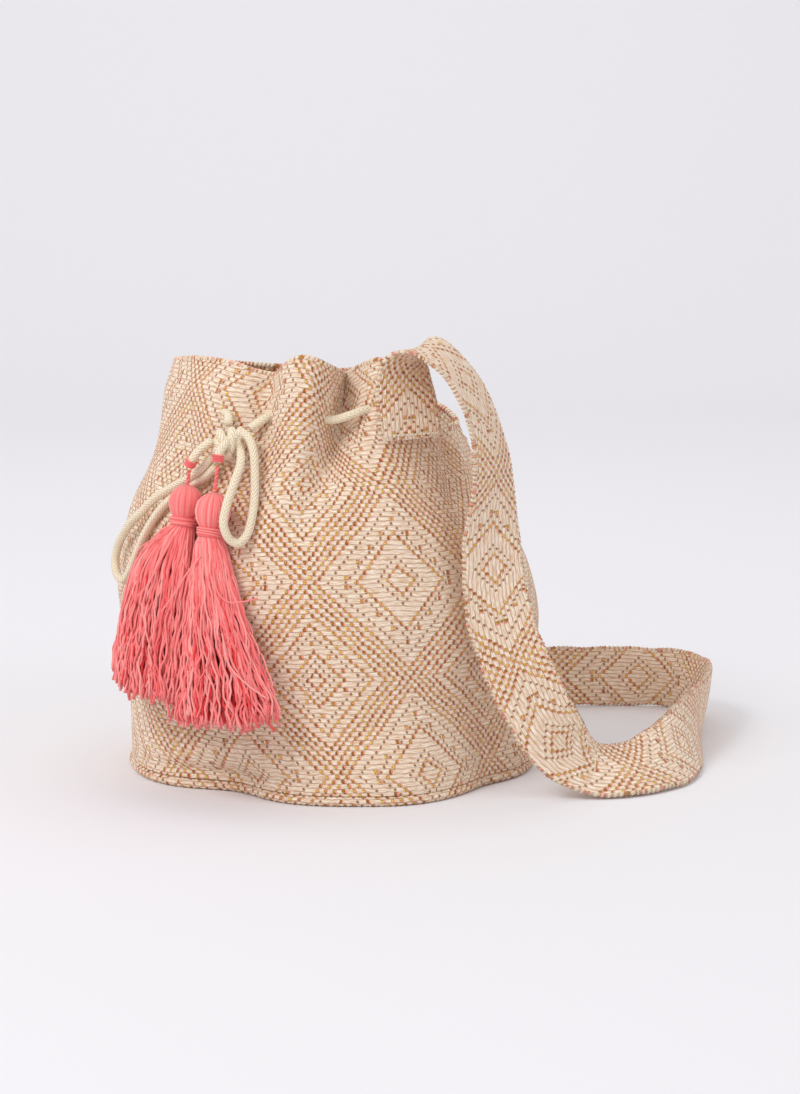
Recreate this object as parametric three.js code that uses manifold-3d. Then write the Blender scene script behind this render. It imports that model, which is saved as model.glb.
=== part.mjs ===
// A soft drawstring shoulder bag in heavy woven cloth, standing on its round base.
// Millimetres, +Z up, the front of the bag faces -Y; the origin is the centre of the base's underside.
import * as THREE from "three";
import { mergeVertices } from "three/addons/utils/BufferGeometryUtils.js";
import Module from "manifold-3d";

// Driving dimensions
const BASE_RADIUS = 130;
const BASE_THICKNESS = 3;
const SEAM_RADIUS = 3;
const WALL_THICKNESS = 3;
const WALL_FOOT = 2 * SEAM_RADIUS + 0.4;
const STRAP_WIDTH = 43;
const STRAP_THICKNESS = 5;
const THREAD_DIAMETER = 1.2;
const CORD_DIAMETER = 5.2;
const EYELET_DIAMETER = 7.2;
const KNOT_HALF_SIZES = [8.2, 5.6, 7.8];
const GAP = 0.35;
const WALL_STEPS_ROUND = 90;
const WALL_STEPS_UP = 17;

// The two tassels hang side by side on one line, the swing axis, which touches the wall's direction here.
const TASSEL_ANGLE = -37;
const TASSEL_REACH = 126.5;
const TASSEL_LEAN = 9.5;
const TASSEL_WRAP_RADIUS = 140;
const HANGER_SPACING = 23;
const HANGER_RADIUS = 1;
const BINDING_HEIGHT = 5;
const BINDING_THICKNESS = 1.2;

// Rim height against the angle round the bag: 0 is the front, 90 the right-hand side.
const RIM_HEIGHT = [
  [-160, 250], [-120, 257], [-90, 262], [-60, 267], [-40, 266], [-24, 259], [-8, 272], [10, 258],
  [21, 269], [38, 251], [62, 223], [90, 211], [120, 225], [160, 246],
];

// Wall radius against the share of the rim height, at the widest side of the bag.
const WALL_PROFILE = [
  [0, 130], [0.1, 131.5], [0.2, 133], [0.31, 136], [0.42, 138], [0.51, 136.5], [0.6, 132],
  [0.66, 127], [0.72, 119.5], [0.78, 113.5], [0.86, 109], [0.93, 106], [1, 100],
];

// How much flatter the bag is at each angle than at its widest side.
const SIDE_SCALE = [[-90, 1], [-66, 0.955], [-35, 0.925], [0, 0.95], [40, 0.95], [90, 0.955], [180, 0.95]];

// Upright folds of the gathered mouth: angle at the rim, lean down the wall, half width, depth, lowest share.
const FOLDS = [
  { angle: -25, lean: 3, width: 6.5, depth: 13, from: 0.76 },
  { angle: -7, lean: -3, width: 12, depth: -8, from: 0.58 },
  { angle: 10, lean: -17, width: 7.5, depth: 38, from: 0.6 },
  { angle: 50, lean: -4, width: 6, depth: 4, from: 0.55 },
  { angle: 97, lean: 4, width: 9, depth: 12, from: 0.66 },
  { angle: 138, lean: -5, width: 9, depth: 24, from: 0.62 },
  { angle: 178, lean: 4, width: 8, depth: 24, from: 0.64 },
  { angle: -118, lean: -4, width: 9, depth: 16, from: 0.66 },
];

// Dents and swells of the base's outline: angle, half width, depth.
const BASE_DENTS = [
  { angle: -32, width: 17, depth: 21 },
  { angle: 22, width: 13, depth: -6 },
  { angle: 51, width: 11, depth: 7 },
];

// The strap's route, from its sewn front end to its sewn back end: centre, then the way to its second edge.
const STRAP_ROUTE = [
  [50, -99.5, 222, 0.87, 0.49, 0], [48.5, -97, 240, 0.87, 0.49, 0], [46.5, -94, 258, 0.86, 0.5, 0],
  [48, -94, 271, 0.75, 0.64, 0.1], [58, -97, 279, 0.35, 0.9, 0.25], [73, -99, 270, 0.25, 0.94, 0.22],
  [88, -100, 250, 0.33, 0.92, 0.2], [97, -101, 226, 0.42, 0.9, 0.1], [101, -102, 200, 0.55, 0.83, 0.05],
  [100.5, -104, 176, 0.7, 0.71, 0.03], [100, -107, 152, 0.86, 0.5, 0.05], [104, -110, 118, 0.92, 0.37, 0.1],
  [112, -112, 92, 0.95, 0.2, 0.22], [124, -112, 66, 0.92, 0.14, 0.36], [137, -110, 42, 0.82, 0.3, 0.48],
  [150, -103, 26, 0.6, 0.6, 0.52], [165, -98, 16, 0.25, 0.83, 0.5], [183, -92, 14.2, 0, 0.87, 0.49],
  [200, -81, 14.9, -0.25, 0.79, 0.56], [215, -63, 17.1, -0.42, 0.6, 0.68], [226, -38, 20, -0.42, 0.32, 0.84],
  [237, 3, 21.7, -0.22, 0.1, 0.97], [247, 50, 22, 0.1, 0, 0.99], [254, 92, 22, 0.2, 0, 0.98],
  [254, 130, 22, 0.1, -0.1, 0.99], [240, 157, 22, 0, -0.08, 1], [210, 165, 22, 0, -0.05, 1],
  [170, 165, 22, 0, 0, 1], [120, 164, 22, 0, 0, 1], [75, 160, 28.4, 0.12, 0, 0.99],
  [40, 156, 46, 0.5, 0.05, 0.86], [10, 151, 74, 0.75, 0.15, 0.62], [-14, 145, 108, 0.86, 0.3, 0.35],
  [-32, 138, 148, 0.88, 0.4, 0.15], [-43, 130, 188, 0.89, 0.45, 0.05], [-50, 123, 218, 0.89, 0.45, 0],
  [-52, 115, 237, 0.89, 0.45, 0], [-51.5, 105, 244, 0.89, 0.45, 0], [-50, 98.5, 237, 0.89, 0.45, 0],
  [-50.5, 99.5, 220, 0.89, 0.45, 0], [-53, 103.5, 200, 0.89, 0.45, 0],
];
const STRAP_STEPS_PER_STATION = 3;

// The drawcord's routes: round the mouth through the eyelets, the two loops of the bow, the two ends.
const MOUTH_ROUTE = [
  [-61, -92, 231], [-61.5, -86, 235], [-64, -78, 236.5], [-69, -69, 236.5], [-80, -55, 236],
  [-94, -34, 235], [-101, -12, 233], [-101, 10, 231], [-95, 31, 229], [-88, 48, 227.5], [-76, 59, 225.5],
  [-57, 81, 222.5], [-26, 93, 219.5], [3, 80, 218.5], [25, 92, 217], [46, 83, 212.5], [53, 74, 210],
  [60, 67, 206.5], [66, 60, 204], [73, 52, 201], [86, 31, 195], [85, 10, 191], [90, -16, 196],
  [80, -46, 207.5], [65, -65, 221], [48, -82, 236], [34, -89, 239.5], [23, -92, 239.5], [14, -93, 236.5],
  [4, -91.5, 233.5], [-4, -92.5, 234], [-12, -97, 237.5], [-19, -96, 238.5], [-27, -88.5, 237.5],
  [-34, -86, 236], [-41, -90, 232.5], [-48, -92.5, 228],
];
const LEFT_LOOP_ROUTE = [
  [-71, -93, 211], [-79, -88, 201.5], [-89, -81.5, 194.5], [-99, -73.5, 188.5], [-109, -66, 181.5],
  [-118, -59, 172], [-125, -52, 165], [-131, -42, 156], [-136, -33, 146], [-138, -32, 136],
  [-136, -38, 128], [-131, -47, 127], [-126, -54, 135], [-121, -59, 147], [-115, -64, 160],
  [-106, -69.5, 174], [-96, -75.5, 184], [-86, -82, 191], [-77, -88.5, 196.5], [-69, -94, 204.5],
];
const RIGHT_LOOP_ROUTE = [
  [-53, -96, 226.5], [-48.5, -99, 223], [-45.5, -103, 216], [-44.5, -107, 203], [-44.5, -112, 188],
  [-46, -116.5, 176], [-49, -119.5, 166], [-54, -122, 161.5], [-59, -123.5, 164], [-62.5, -125, 173],
  [-61, -123, 184], [-57, -118, 196], [-53, -109, 208], [-53, -102, 215],
];
const CORD_ENDS = {
  left: [[-71, -95, 221], [-77, -96, 216.5], [-82, -96, 211], [-85.3, -94.1, 205.2]],
  right: [[-61.5, -102, 220.5], [-63.5, -105.5, 218.5], [-66, -108, 214.5], [-66.9, -107.9, 209.2]],
};
const KNOT_CENTRE = [-60.5, -93.5, 219.5];

// Each tassel: height of its swing axis, side of the pair, and rings of its yarn, which are depth below the
// axis, shift to the right, half width, half thickness and shift outwards.
const TASSELS = {
  left: {
    axisHeight: 203,
    side: -1,
    rings: [
      [10, 0, 1.5, 1.5, 0], [12, 0, 6, 6, 0], [16, 0, 9.4, 9.4, 0], [21, 0, 10.2, 10.2, 0],
      [26, 0, 8.8, 8.8, 0], [29, 0, 6.6, 6.6, 0], [34.5, 0, 6.6, 6.6, 0], [41, -4, 12, 7.5, 0.5],
      [62, -16.5, 26, 8.5, 1], [95, -22, 31.5, 9.5, 2], [118, -22.5, 32, 9.5, 2], [140, -19, 28.5, 8.5, 2],
    ],
  },
  right: {
    axisHeight: 207,
    side: 1,
    rings: [
      [17, 0, 1.5, 1.5, 0], [19, 0, 6.2, 6.2, 0], [23, 0, 9.8, 9.8, 0], [28.5, 0, 10.6, 10.6, 0],
      [34, 0, 9.2, 9.2, 0], [37.5, 0, 6.8, 6.8, 0], [43, 0, 6.8, 6.8, 0], [50, 0.5, 10, 7.5, 0.5],
      [66, 3, 12.5, 8.5, 1], [85, 7.5, 17, 9.3, 2], [107, 14, 23.5, 9.5, 2], [130, 18.5, 28, 9.5, 2],
      [155, 25, 34.5, 8.5, 2],
    ],
  },
};

const radians = THREE.MathUtils.degToRad;
const material = (color, roughness, metalness = 0) =>
  new THREE.MeshStandardMaterial({ color, roughness, metalness });

const CLOTH = () => material(0xe2cdb8, 0.9);
const CORD = () => material(0xebdcc0, 0.85);
const TASSEL_YARN = () => material(0xf4808c, 0.8);
const THREAD = () => material(0xdfc9b0, 0.85);

const wasm = await Module();
wasm.setup();

// Smallest difference between two angles, in degrees, signed.
function turn(from, to) {
  return ((((to - from) % 360) + 540) % 360) - 180;
}

// A smooth curve through [position, value] pairs, which goes round when a period is given.
function smoothThrough(pairs, position, period = 0) {
  const last = pairs.length - 1;
  const at = (i) => {
    if (!period) return pairs[Math.min(Math.max(i, 0), last)];
    const wrapped = ((i % (last + 1)) + last + 1) % (last + 1);
    return [pairs[wrapped][0] + period * Math.floor(i / (last + 1)), pairs[wrapped][1]];
  };
  let i = period ? -1 : 0;
  while (i < last - (period ? -1 : 1) && at(i + 1)[0] < position) i += 1;
  const [a, b, c, d] = [at(i - 1), at(i), at(i + 1), at(i + 2)];
  const span = c[0] - b[0];
  const t = Math.min(Math.max((position - b[0]) / span, 0), 1);
  const slope = (p, q) => (q[0] === p[0] ? 0 : ((q[1] - p[1]) / (q[0] - p[0])) * span);
  const [m0, m1] = [slope(a, c), slope(b, d)];
  const [t2, t3] = [t * t, t * t * t];
  return (2 * t3 - 3 * t2 + 1) * b[1] + (t3 - 2 * t2 + t) * m0 + (3 * t2 - 2 * t3) * c[1] + (t3 - t2) * m1;
}

const bump = (x) => Math.exp(-x * x);

function rimHeight(angle) {
  return smoothThrough(RIM_HEIGHT, turn(0, angle), 360);
}

function baseRadius(angle) {
  let radius = BASE_RADIUS;
  for (const dent of BASE_DENTS) radius -= dent.depth * bump(turn(dent.angle, angle) / dent.width);
  return radius;
}

// Radius of the wall's middle surface at an angle and a share of the rim height.
function wallRadius(angle, share) {
  const side = smoothThrough(SIDE_SCALE, turn(0, angle), 360);
  let radius = smoothThrough(WALL_PROFILE, share) * side;
  radius = THREE.MathUtils.lerp(baseRadius(angle), radius, THREE.MathUtils.smoothstep(share, 0, 0.24));
  radius -= 9 * bump(turn(84, angle) / 45) * THREE.MathUtils.smoothstep(share, 0.7, 0.95);
  for (const fold of FOLDS) {
    const centre = fold.angle + (fold.lean * (1 - share)) / (1 - fold.from);
    const grown = THREE.MathUtils.smoothstep(share, fold.from, 1);
    radius -= fold.depth * grown * bump(turn(centre, angle) / fold.width);
  }
  return radius;
}

function wallPoint(angle, share, offset = 0) {
  const radius = wallRadius(angle, share) + offset;
  const height = WALL_FOOT + share * (rimHeight(angle) - WALL_FOOT);
  const a = radians(angle);
  return new THREE.Vector3(radius * Math.sin(a), -radius * Math.cos(a), height);
}

// Outward unit normal of the wall's middle surface.
function wallNormal(angle, share) {
  const low = Math.max(share - 0.02, 0);
  const high = Math.min(share + 0.02, 1);
  const along = wallPoint(angle + 1, share).sub(wallPoint(angle - 1, share));
  const up = wallPoint(angle, high).sub(wallPoint(angle, low));
  return along.cross(up).normalize();
}

// A closed skin over rings of points; each ring goes round anticlockwise seen from its far end.
// The rings join end to start when loop is true, otherwise each end is closed by a fan.
function skin(rings, loop = false) {
  const size = rings[0].length;
  const points = rings.flat();
  const faces = [];
  const joins = loop ? rings.length : rings.length - 1;
  for (let r = 0; r < joins; r += 1) {
    const [a, b] = [r * size, ((r + 1) % rings.length) * size];
    for (let i = 0; i < size; i += 1) {
      const j = (i + 1) % size;
      faces.push(a + i, a + j, b + j, a + i, b + j, b + i);
    }
  }
  if (!loop) {
    for (const [start, flip] of [[0, true], [(rings.length - 1) * size, false]]) {
      const centre = new THREE.Vector3();
      for (let i = 0; i < size; i += 1) centre.add(points[start + i]);
      points.push(centre.divideScalar(size));
      for (let i = 0; i < size; i += 1) {
        const j = (i + 1) % size;
        faces.push(points.length - 1, start + (flip ? j : i), start + (flip ? i : j));
      }
    }
  }
  const geometry = new THREE.BufferGeometry().setFromPoints(points);
  geometry.setIndex(faces);
  return geometry;
}

function toSolid(geometry) {
  const bare = new THREE.BufferGeometry();
  bare.setAttribute("position", geometry.getAttribute("position").clone());
  bare.setIndex(geometry.index ? geometry.index.clone() : null);
  const merged = mergeVertices(bare, 1e-4);
  const vertProperties = new Float32Array(merged.attributes.position.array);
  const triVerts = new Uint32Array(merged.index.array);
  return new wasm.Manifold(new wasm.Mesh({ numProp: 3, vertProperties, triVerts }));
}

function fromSolid(solid) {
  const mesh = solid.getMesh();
  const geometry = new THREE.BufferGeometry();
  geometry.setAttribute("position", new THREE.BufferAttribute(new Float32Array(mesh.vertProperties), 3));
  geometry.setIndex(Array.from(mesh.triVerts));
  return geometry;
}

function named(name, geometry, finish) {
  geometry.computeVertexNormals();
  const mesh = new THREE.Mesh(geometry, finish);
  mesh.name = name;
  return mesh;
}

function circleShape(radius, sides) {
  const shape = new THREE.Shape();
  for (let i = 0; i < sides; i += 1) {
    const a = (2 * Math.PI * i) / sides;
    const point = [radius * Math.cos(a), radius * Math.sin(a)];
    if (i === 0) shape.moveTo(...point);
    else shape.lineTo(...point);
  }
  shape.closePath();
  return shape;
}

function tube(points, diameter, steps, sides = 8) {
  const path = new THREE.CatmullRomCurve3(points.map((p) => new THREE.Vector3(...p)));
  return new THREE.ExtrudeGeometry(circleShape(diameter / 2, sides), { steps, extrudePath: path });
}

// The wall is one length of cloth: outer rings going up, then inner rings coming down.
function bodyWall() {
  const rings = [];
  for (let step = 0; step <= WALL_STEPS_UP; step += 1) rings.push([step / WALL_STEPS_UP, 0.5]);
  for (let step = WALL_STEPS_UP; step >= 0; step -= 1) rings.push([step / WALL_STEPS_UP, -0.5]);
  const points = rings.map(([share, side]) => {
    const ring = [];
    for (let i = 0; i < WALL_STEPS_ROUND; i += 1) {
      const angle = (360 * i) / WALL_STEPS_ROUND;
      const shift = wallNormal(angle, share).multiplyScalar(side * WALL_THICKNESS);
      ring.push(wallPoint(angle, share).add(shift));
    }
    return ring;
  });
  return skin(points, true);
}

function basePanel() {
  const shape = new THREE.Shape();
  for (let angle = 0; angle < 360; angle += 6) {
    const radius = baseRadius(angle) - SEAM_RADIUS - GAP - 0.4;
    const point = [radius * Math.sin(radians(angle)), -radius * Math.cos(radians(angle))];
    if (angle === 0) shape.moveTo(...point);
    else shape.lineTo(...point);
  }
  shape.closePath();
  return new THREE.ExtrudeGeometry(shape, { depth: BASE_THICKNESS, bevelEnabled: false });
}

// The crocheted ridge that joins the wall to the base all round.
function baseSeam() {
  const rings = [];
  for (let angle = 0; angle < 360; angle += 5) {
    const a = radians(angle);
    const ring = [];
    for (let i = 0; i < 8; i += 1) {
      const b = radians(22.5 + 45 * i);
      const radius = baseRadius(angle) + (SEAM_RADIUS * Math.cos(b)) / Math.cos(radians(22.5));
      const height = SEAM_RADIUS + (SEAM_RADIUS * Math.sin(b)) / Math.cos(radians(22.5));
      ring.push(new THREE.Vector3(radius * Math.sin(a), -radius * Math.cos(a), height));
    }
    rings.push(ring.reverse());
  }
  return skin(rings, true);
}

// The strap: a doubled band of cloth carried along its route, turned by the route's width directions.
function shoulderStrap() {
  const centres = new THREE.CatmullRomCurve3(STRAP_ROUTE.map((s) => new THREE.Vector3(s[0], s[1], s[2])));
  const widths = new THREE.CatmullRomCurve3(STRAP_ROUTE.map((s) => new THREE.Vector3(s[3], s[4], s[5])));
  const steps = (STRAP_ROUTE.length - 1) * STRAP_STEPS_PER_STATION;
  const rings = [];
  for (let i = 0; i <= steps; i += 1) {
    const along = centres.getTangent(i / steps);
    const across = widths.getPoint(i / steps);
    across.addScaledVector(along, -across.dot(along)).setLength(STRAP_WIDTH / 2);
    const out = along.clone().cross(across).setLength(STRAP_THICKNESS / 2);
    const centre = centres.getPoint(i / steps);
    const corner = (a, b) => centre.clone().addScaledVector(across, a).addScaledVector(out, b);
    rings.push([corner(-1, -1), corner(1, -1), corner(1, 1), corner(-1, 1)]);
  }
  return skin(rings);
}

// One row of sewing thread that crosses the strap close to its end, on the face away from the bag.
function strapStitching(end) {
  const station = STRAP_ROUTE[end === "front" ? 0 : STRAP_ROUTE.length - 1];
  const inward = STRAP_ROUTE[end === "front" ? 1 : STRAP_ROUTE.length - 2];
  const centre = new THREE.Vector3(station[0], station[1], station[2]);
  const up = new THREE.Vector3(inward[0], inward[1], inward[2]).sub(centre).normalize();
  const across = new THREE.Vector3(station[3], station[4], station[5]).normalize();
  const out = across.clone().cross(up).normalize();
  if (out.dot(new THREE.Vector3(centre.x, centre.y, 0)) < 0) out.negate();
  centre.addScaledVector(up, 3).addScaledVector(out, STRAP_THICKNESS / 2 + THREAD_DIAMETER / 2 + GAP);
  const reach = STRAP_WIDTH / 2 - 3;
  const points = [-1, 0, 1].map((k) => centre.clone().addScaledVector(across, k * reach).toArray());
  return tube(points, THREAD_DIAMETER, 2);
}

function bowKnot() {
  const knot = new THREE.SphereGeometry(1, 14, 10);
  knot.scale(...KNOT_HALF_SIZES);
  knot.translate(...KNOT_CENTRE);
  knot.deleteAttribute("normal");
  knot.deleteAttribute("uv");
  return fromSolid(toSolid(knot));
}

// A tassel's yarn: one bundle folded over its hanger, waisted by the binding, then spreading into a skirt
// that wraps a little round the bag.
function tasselYarn({ rings, side }) {
  const sides = 16;
  const sections = rings.map(([depth, shift, halfWidth, halfDepth, out]) => {
    const ring = [];
    for (let i = 0; i < sides; i += 1) {
      const a = (-2 * Math.PI * i) / sides;
      const x = shift + halfWidth * Math.cos(a);
      const fromMiddle = shift === 0 ? 0 : x + (side * HANGER_SPACING) / 2;
      const wrap = fromMiddle ** 2 / (2 * TASSEL_WRAP_RADIUS);
      ring.push(new THREE.Vector3(x, halfDepth * Math.sin(a) - out + wrap, -depth));
    }
    return ring;
  });
  return skin(sections);
}

// The binding is a ring of wound thread that stands just clear of the waist that it grips.
function tasselBinding({ rings }) {
  const [depth, , radius] = rings.find((ring, i) => i > 3 && ring[2] === rings[i + 1][2]);
  const inner = radius + GAP;
  const outer = inner + BINDING_THICKNESS;
  const [low, high] = [-depth - BINDING_HEIGHT, -depth - 0.3];
  const outline = [[inner, low], [outer, low + 0.6], [outer, high - 0.6], [inner, high], [inner, low]];
  const ring = new THREE.LatheGeometry(outline.map((p) => new THREE.Vector2(...p)), 24);
  return ring.rotateX(Math.PI / 2);
}

function tasselHanger({ rings }) {
  return tube([[0, 0, -0.5], [0, 0, -rings[0][0] / 2], [0, 0, -rings[0][0] + GAP]], 2 * HANGER_RADIUS, 3);
}

function tassel(name, spec) {
  const group = new THREE.Group();
  const a = radians(TASSEL_ANGLE);
  const along = (spec.side * HANGER_SPACING) / 2;
  const x = TASSEL_REACH * Math.sin(a) + along * Math.cos(a);
  const y = -TASSEL_REACH * Math.cos(a) + along * Math.sin(a);
  group.position.set(x, y, spec.axisHeight);
  group.rotation.set(radians(-TASSEL_LEAN), 0, a, "ZYX");
  group.add(named(`tassel_${name}_hanger`, tasselHanger(spec), TASSEL_YARN()));
  group.add(named(`tassel_${name}_yarn`, tasselYarn(spec), TASSEL_YARN()));
  group.add(named(`tassel_${name}_binding`, tasselBinding(spec), TASSEL_YARN()));
  return group;
}

// The wall with an eyelet wherever the drawcord goes through it.
function bodyWithEyelets() {
  const channel = tube(MOUTH_ROUTE, EYELET_DIAMETER, 80);
  return fromSolid(toSolid(bodyWall()).subtract(toSolid(channel)));
}

const bag = new THREE.Group();
bag.add(named("bag_body", bodyWithEyelets(), CLOTH()));
bag.add(named("base_panel", basePanel(), CLOTH()));
bag.add(named("base_seam", baseSeam(), CLOTH()));
bag.add(named("shoulder_strap", shoulderStrap(), CLOTH()));
bag.add(named("strap_stitching_front", strapStitching("front"), THREAD()));
bag.add(named("strap_stitching_back", strapStitching("back"), THREAD()));
bag.add(named("drawcord_mouth", tube(MOUTH_ROUTE, CORD_DIAMETER, 80), CORD()));
bag.add(named("drawcord_bow_knot", bowKnot(), CORD()));
bag.add(named("drawcord_loop_left", tube(LEFT_LOOP_ROUTE, CORD_DIAMETER, 30), CORD()));
bag.add(named("drawcord_loop_right", tube(RIGHT_LOOP_ROUTE, CORD_DIAMETER, 26), CORD()));
for (const [name, route] of Object.entries(CORD_ENDS)) {
  bag.add(named(`drawcord_end_${name}`, tube(route, CORD_DIAMETER, 5), CORD()));
}
for (const [name, spec] of Object.entries(TASSELS)) bag.add(tassel(name, spec));

export default bag;
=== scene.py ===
"""Looks of a woven drawstring bucket bag: cloth, strap, seams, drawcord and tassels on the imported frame."""

import math

import bpy
import numpy as np
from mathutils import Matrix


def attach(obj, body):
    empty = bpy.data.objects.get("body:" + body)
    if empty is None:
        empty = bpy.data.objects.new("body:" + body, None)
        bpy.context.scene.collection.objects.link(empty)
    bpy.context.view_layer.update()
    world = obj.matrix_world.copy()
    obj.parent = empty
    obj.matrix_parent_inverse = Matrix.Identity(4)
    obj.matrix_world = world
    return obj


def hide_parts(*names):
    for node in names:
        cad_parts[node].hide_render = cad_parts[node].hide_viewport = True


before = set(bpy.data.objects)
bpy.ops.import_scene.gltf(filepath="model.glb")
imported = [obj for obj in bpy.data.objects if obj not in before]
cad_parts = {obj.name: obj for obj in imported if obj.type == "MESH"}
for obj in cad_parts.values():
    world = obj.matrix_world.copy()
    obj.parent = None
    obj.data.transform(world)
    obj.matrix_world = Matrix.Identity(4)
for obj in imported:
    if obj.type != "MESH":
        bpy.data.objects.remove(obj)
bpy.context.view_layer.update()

MM = 0.001
TAU = 2 * math.pi

# ---------------------------------------------------------------- camera, floor and light

TARGET = np.array([0.044, 0.0, 0.1405])
CAMERA_DISTANCE = 1.8
CAMERA_ELEVATION = math.radians(8.7)
CAMERA_LENS = 91.1
WORLD_STRENGTH = 0.76
KEY_POWER = 38
FILL_POWER = 7
WASH_POWER = 17


def make_camera():
    """A long lens in front of the bag, looking slightly down on it."""
    data = bpy.data.cameras.new("camera")
    data.lens = CAMERA_LENS
    data.clip_end = 30
    camera = bpy.data.objects.new("camera", data)
    back = np.array([0, -math.cos(CAMERA_ELEVATION), math.sin(CAMERA_ELEVATION)])
    camera.location = TARGET + CAMERA_DISTANCE * back
    camera.rotation_euler = (math.pi / 2 - CAMERA_ELEVATION, 0, 0)
    bpy.context.scene.collection.objects.link(camera)
    bpy.context.scene.camera = camera


make_camera()


def linear(hex_colour):
    """An sRGB hex colour as linear RGBA."""
    channels = [int(hex_colour[i : i + 2], 16) / 255 for i in (1, 3, 5)]
    curve = [c / 12.92 if c <= 0.04045 else ((c + 0.055) / 1.055) ** 2.4 for c in channels]
    return (*curve, 1.0)


def add_mesh(name, points, faces, uvs=None):
    """A mesh object from point rows and face rows; uvs has one row for each corner of each face."""
    mesh = bpy.data.meshes.new(name)
    points = np.asarray(points, dtype=np.float32)
    faces = np.asarray(faces, dtype=np.int32)
    count, corners = faces.shape
    mesh.vertices.add(len(points))
    mesh.vertices.foreach_set("co", points.ravel())
    mesh.loops.add(count * corners)
    mesh.loops.foreach_set("vertex_index", faces.ravel())
    mesh.polygons.add(count)
    mesh.polygons.foreach_set("loop_start", np.arange(count, dtype=np.int32) * corners)
    mesh.polygons.foreach_set("use_smooth", np.full(count, True))
    if uvs is not None:
        layer = mesh.uv_layers.new(name="cloth")
        layer.data.foreach_set("uv", np.asarray(uvs, dtype=np.float32).ravel())
    mesh.update(calc_edges=True)
    mesh.validate()
    piece = bpy.data.objects.new(name, mesh)
    bpy.context.scene.collection.objects.link(piece)
    return piece


def smoothstep(x, low, high):
    """0 below low, 1 above high and a smooth S between."""
    t = np.clip((x - low) / (high - low), 0, 1)
    return t * t * (3 - 2 * t)


def make_stage():
    """A floor that curves up into a backdrop: straight, a quarter circle, straight up, carried along X."""
    floor_y, radius, height = 2.2, 1.2, 3.0
    turn = np.linspace(0, math.pi / 2, 24)
    profile_y = np.concatenate([[-4.5], floor_y + radius * np.sin(turn), [floor_y + radius]])
    profile_z = np.concatenate([[0], radius * (1 - np.cos(turn)), [height]])
    xs = np.array([-6.0, 6.0])
    points = np.stack(
        [np.repeat(xs, len(profile_y)), np.tile(profile_y, 2), np.tile(profile_z, 2)], axis=1
    )
    n = len(profile_y)
    i = np.arange(n - 1)
    faces = np.stack([i, i + n, i + n + 1, i + 1], axis=1)
    backdrop = add_mesh("backdrop", points, faces)
    paint = bpy.data.materials.new("matt backdrop paper")
    paint.use_nodes = True
    shader = paint.node_tree.nodes["Principled BSDF"]
    shader.inputs["Base Color"].default_value = linear("#ECEBEE")
    shader.inputs["Roughness"].default_value = 0.95
    shader.inputs["Specular IOR Level"].default_value = 0.1
    backdrop.data.materials.append(paint)


def make_light(name, location, aim, size, power):
    """A square white soft box that looks from its place to its aim."""
    data = bpy.data.lights.new(name, "AREA")
    data.size = size
    data.energy = power
    lamp = bpy.data.objects.new(name, data)
    lamp.location = location
    away = np.array(location) - np.array(aim)
    lamp.rotation_euler = (
        math.atan2(math.hypot(away[0], away[1]), away[2]),
        0,
        math.atan2(away[1], away[0]) + math.pi / 2,
    )
    bpy.context.scene.collection.objects.link(lamp)


def make_lighting():
    """A pale even room, a soft key from the upper left, a weaker fill from the right, a backdrop wash."""
    world = bpy.data.worlds.new("pale room")
    bpy.context.scene.world = world
    world.use_nodes = True
    world.node_tree.nodes["Background"].inputs["Color"].default_value = linear("#F7F6F7")
    world.node_tree.nodes["Background"].inputs["Strength"].default_value = WORLD_STRENGTH
    make_light("key", (-1.6, -1.7, 2.3), (0, 0, 0.1), 1.1, KEY_POWER)
    make_light("fill", (2.2, -1.6, 1.4), (0, 0, 0.1), 1.6, FILL_POWER)
    make_light("backdrop wash", (0, 0.9, 2.9), (0, 3.4, 0.7), 2.0, WASH_POWER)


make_stage()
make_lighting()
bpy.context.scene.view_settings.view_transform = "Standard"

# ---------------------------------------------------------------- the shape of the bag

BASE_RADIUS = 130.0
SEAM_RADIUS = 3.0
WALL_FOOT = 2 * SEAM_RADIUS + 0.4
WALL_HALF = 1.5

RIM_HEIGHT = [
    (-160, 250), (-120, 257), (-90, 262), (-60, 267), (-40, 266), (-24, 259), (-8, 272), (10, 258),
    (21, 269), (38, 251), (62, 223), (90, 211), (120, 225), (160, 246),
]
WALL_PROFILE = [
    (0, 130), (0.1, 131.5), (0.2, 133), (0.31, 136), (0.42, 138), (0.51, 136.5), (0.6, 132),
    (0.66, 127), (0.72, 119.5), (0.78, 113.5), (0.86, 109), (0.93, 106), (1, 100),
]
SIDE_SCALE = [(-90, 1), (-66, 0.955), (-35, 0.925), (0, 0.95), (40, 0.95), (90, 0.955), (180, 0.95)]
# angle at the rim, lean down the wall, half width, depth, lowest share of the height
FOLDS = [
    (-25, 3, 6.5, 13, 0.76), (-7, -3, 12, -8, 0.58), (10, -17, 7.5, 38, 0.6), (50, -4, 6, 4, 0.55),
    (97, 4, 9, 12, 0.66), (138, -5, 9, 24, 0.62), (178, 4, 8, 24, 0.64), (-118, -4, 9, 16, 0.66),
]
BASE_DENTS = [(-32, 17, 21), (22, 13, -6), (51, 11, 7)]


def turned(start, end):
    """The signed difference between two angles in degrees."""
    return (end - start + 180) % 360 - 180


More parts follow.
